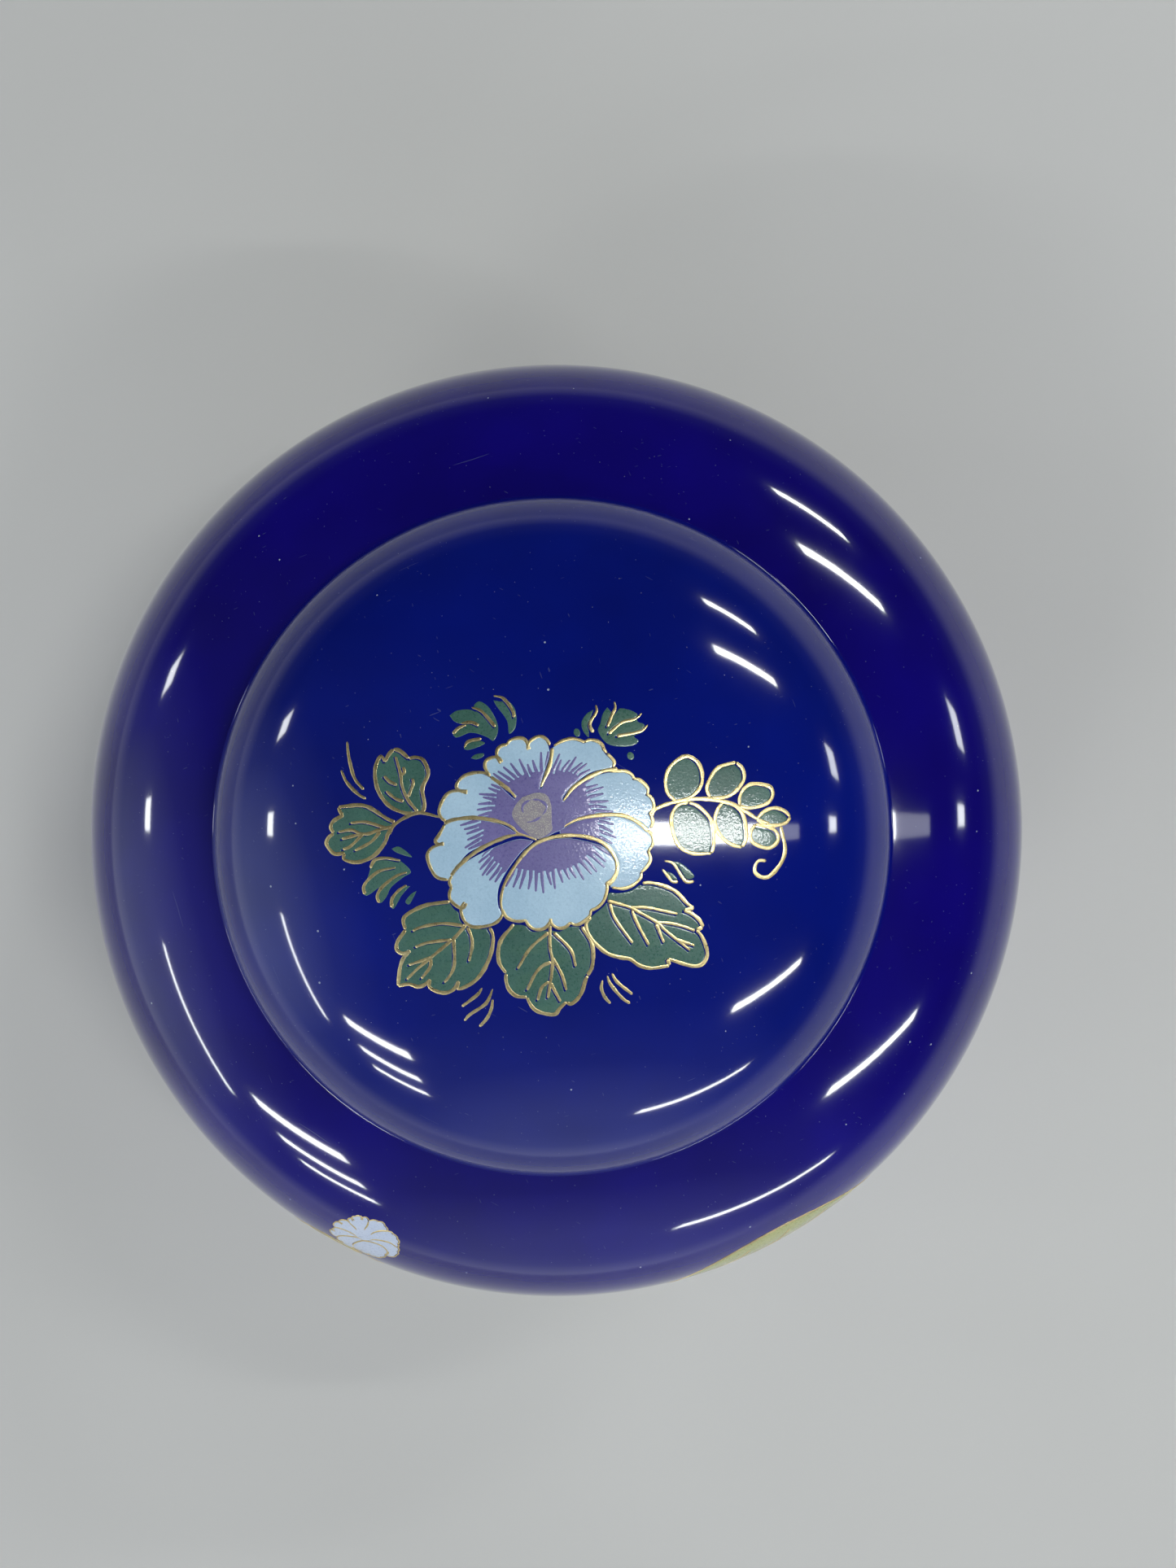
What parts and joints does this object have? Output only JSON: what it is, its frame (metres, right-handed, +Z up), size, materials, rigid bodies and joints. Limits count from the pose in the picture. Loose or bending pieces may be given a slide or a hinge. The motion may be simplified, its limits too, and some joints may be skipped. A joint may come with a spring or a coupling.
{
  "type": "porcelain trinket box",
  "caption": "Round porcelain trinket box with a squat bellied bowl on a foot ring and a domed lift-off lid, decorated with a flower spray.",
  "frame": {"origin": "centre of the foot ring's resting face, on the surface that the box stands on", "axes": "+Z up along the axis the bowl and lid are turned about; -Y is the decorated front, towards which the lid's flower spray stands upright; +X is to the viewer's right"},
  "size_m": [0.1, 0.1, 0.0525],
  "materials": {
    "bowl_glaze": "gloss",
    "lid_glaze": "gloss",
    "white_glaze": "gloss",
    "bare_porcelain": "matte",
    "petal_enamel": "satin",
    "heart_enamel": "satin",
    "leaf_enamel": "satin",
    "gilding": "satin"
  },
  "bodies": {
    "bowl": {"bowl": "bowl_glaze"},
    "lid": {"lid": "lid_glaze"}
  },
  "joints": [
    {"name": "lid_lift", "type": "slide", "parent": "bowl", "child": "lid", "axis": [0, 0, 1], "range_m": [0, 0.09]}
  ]
}
